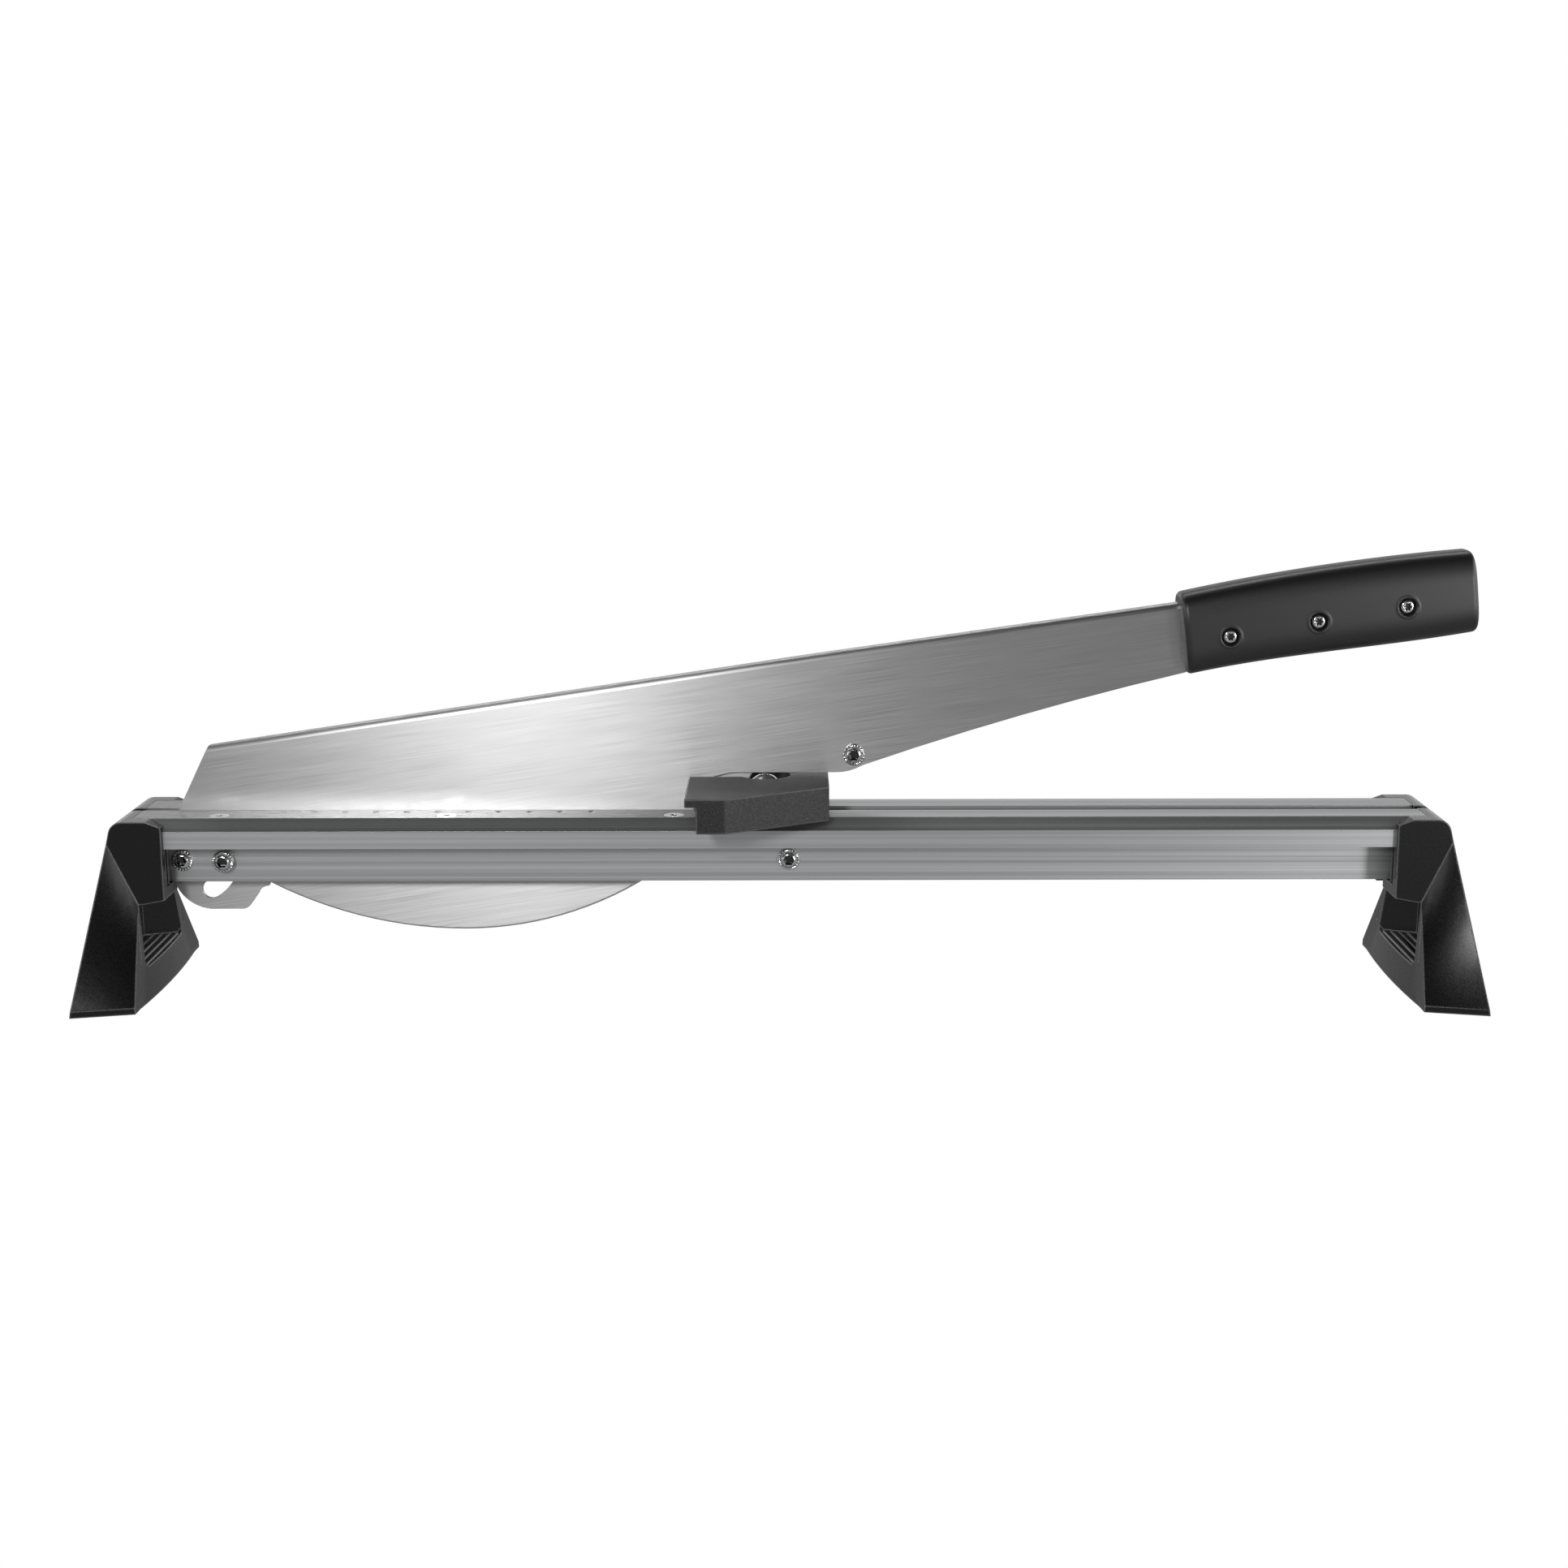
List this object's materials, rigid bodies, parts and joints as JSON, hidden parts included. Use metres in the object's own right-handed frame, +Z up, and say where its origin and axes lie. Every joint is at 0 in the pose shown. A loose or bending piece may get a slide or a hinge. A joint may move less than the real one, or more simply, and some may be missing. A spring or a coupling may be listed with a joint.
{
  "type": "floor tile cutter",
  "caption": "Bench guillotine cutter for vinyl and laminate floor tiles: round-bellied knife on a long hinged lever, slotted aluminium table, swivelling stop, moulded feet.",
  "frame": {"origin": "middle of the footprint, on the surface that the foot pads stand on", "axes": "+X along the rails from the pivot towards the grip, +Y away from the user, +Z up"},
  "size_m": [0.67, 0.132, 0.2152],
  "materials": {
    "zinc_steel": "bright zinc",
    "rail_aluminium": "satin anodised, extrusion lines",
    "plate_steel": "ground",
    "foot_plastic": "fine moulded texture",
    "pad_rubber": "matt",
    "knife_steel": "long brushed grain",
    "lever_steel": "long brushed grain",
    "grip_plastic": "satin",
    "stop_plastic": "coarse moulded texture",
    "washer_plastic": "natural acetal"
  },
  "bodies": {
    "bench": {"front_rail": "rail_aluminium", "rear_rail": "rail_aluminium", "front_table_plate": "plate_steel", "rear_table_plate": "plate_steel", "front_plate_screws": "zinc_steel", "rear_plate_screws": "zinc_steel", "left_foot": "foot_plastic", "right_foot": "foot_plastic", "left_foot_pads": "pad_rubber", "right_foot_pads": "pad_rubber", "left_foot_screws": "zinc_steel", "right_foot_screws": "zinc_steel", "pivot_bolt": "zinc_steel", "pivot_sleeve": "zinc_steel", "pivot_nut": "zinc_steel", "front_pivot_washer": "washer_plastic", "rear_pivot_washer": "washer_plastic", "travel_stop_bolt": "zinc_steel", "travel_stop_spacer": "zinc_steel", "travel_stop_sleeve": "zinc_steel", "travel_stop_nut": "zinc_steel", "tie_bolt": "zinc_steel", "tie_sleeve": "zinc_steel", "tie_nut": "zinc_steel", "stop_pillar": "zinc_steel", "stop_screw": "zinc_steel", "slot_nut": "zinc_steel"},
    "lever": {"knife": "knife_steel", "lever_arm": "lever_steel", "arm_screw": "zinc_steel", "arm_nut": "zinc_steel", "front_grip_shell": "grip_plastic", "rear_grip_shell": "grip_plastic", "grip_screws": "zinc_steel", "grip_nuts": "zinc_steel"},
    "stop": {"stop_block": "stop_plastic"}
  },
  "joints": [
    {"name": "lever_swing", "type": "hinge", "parent": "bench", "child": "lever", "pos_m": [-0.292, 0, 0.0646], "axis": [0, -1, 0], "range_deg": [0, 60]},
    {"name": "stop_swivel", "type": "hinge", "parent": "bench", "child": "stop", "pos_m": [-0.007, 0, 0.095], "axis": [0, 0, 1], "range_deg": [0, 45]}
  ]
}
